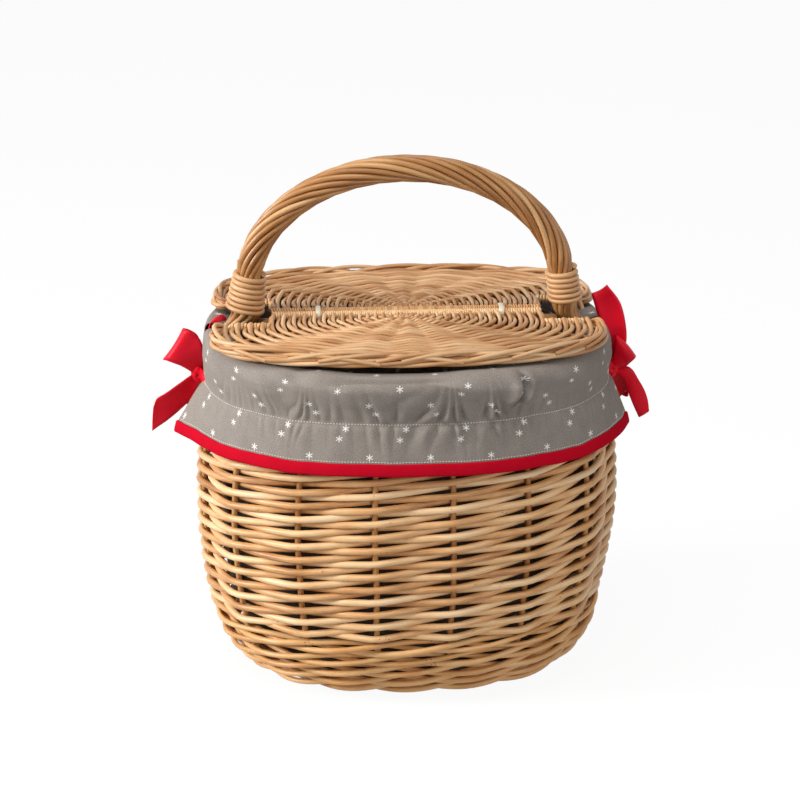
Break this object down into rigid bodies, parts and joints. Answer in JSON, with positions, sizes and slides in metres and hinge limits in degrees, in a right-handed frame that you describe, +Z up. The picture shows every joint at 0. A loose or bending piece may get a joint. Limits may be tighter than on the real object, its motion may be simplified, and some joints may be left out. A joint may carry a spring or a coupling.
{
  "type": "picnic basket",
  "caption": "Oval willow picnic basket with two lids hinged at the middle, a twisted hoop handle, and a grey cotton liner turned over the rim with a red hem and side bows.",
  "frame": {"origin": "middle of the foot border's underside, on the surface that the basket stands on", "axes": "+Z up, X along the line where the two lids meet, +Y from the front lid to the back lid"},
  "size_m": [0.4619, 0.3144, 0.473],
  "materials": {
    "willow": "buff willow rods, smooth with a low sheen",
    "pale_willow": "paler buff willow rods, smooth with a low sheen",
    "grey_cotton": "grey plain weave cotton with small white stars, matt",
    "red_cotton": "red plain weave cotton, matt",
    "clear_tie": "natural nylon, translucent"
  },
  "bodies": {
    "basket": {"foot_border": "willow", "base_weave": "willow", "base_stick_1": "willow", "base_stick_2": "willow", "base_stick_3": "willow", "base_stick_4": "willow", "lower_wale": "willow", "side_weave": "willow", "rim_border": "willow", "side_stake_01": "willow", "side_stake_02": "willow", "side_stake_03": "willow", "side_stake_04": "willow", "side_stake_05": "willow", "side_stake_06": "willow", "side_stake_07": "willow", "side_stake_08": "willow", "side_stake_09": "willow", "side_stake_10": "willow", "side_stake_11": "willow", "side_stake_12": "willow", "side_stake_13": "willow", "side_stake_14": "willow", "side_stake_15": "willow", "side_stake_16": "willow", "handle_bow": "willow", "handle_rope": "pale_willow", "left_wrap": "pale_willow", "right_wrap": "pale_willow", "centre_bar": "willow", "left_tie": "clear_tie", "right_tie": "clear_tie", "liner_bag": "grey_cotton", "cuff_front": "grey_cotton", "cuff_back": "grey_cotton", "hem_front": "red_cotton", "hem_back": "red_cotton", "left_bow": "red_cotton", "right_bow": "red_cotton"},
    "front_lid": {"front_lid_hinge_rod": "willow", "front_lid_weave": "willow", "front_lid_border": "pale_willow", "front_lid_rib_1": "willow", "front_lid_rib_2": "willow", "front_lid_rib_3": "willow", "front_lid_rib_4": "willow", "front_lid_rib_5": "willow", "front_lid_rib_6": "willow", "front_lid_rib_7": "willow"},
    "back_lid": {"back_lid_hinge_rod": "willow", "back_lid_weave": "willow", "back_lid_border": "pale_willow", "back_lid_rib_1": "willow", "back_lid_rib_2": "willow", "back_lid_rib_3": "willow", "back_lid_rib_4": "willow", "back_lid_rib_5": "willow", "back_lid_rib_6": "willow", "back_lid_rib_7": "willow"}
  },
  "joints": [
    {"name": "front_lid_hinge", "type": "hinge", "parent": "basket", "child": "front_lid", "pos_m": [0, -0.0052, 0.3275], "axis": [-1, 0, 0], "range_deg": [0, 60]},
    {"name": "back_lid_hinge", "type": "hinge", "parent": "basket", "child": "back_lid", "pos_m": [0, 0.0052, 0.3275], "axis": [1, 0, 0], "range_deg": [0, 60]}
  ]
}
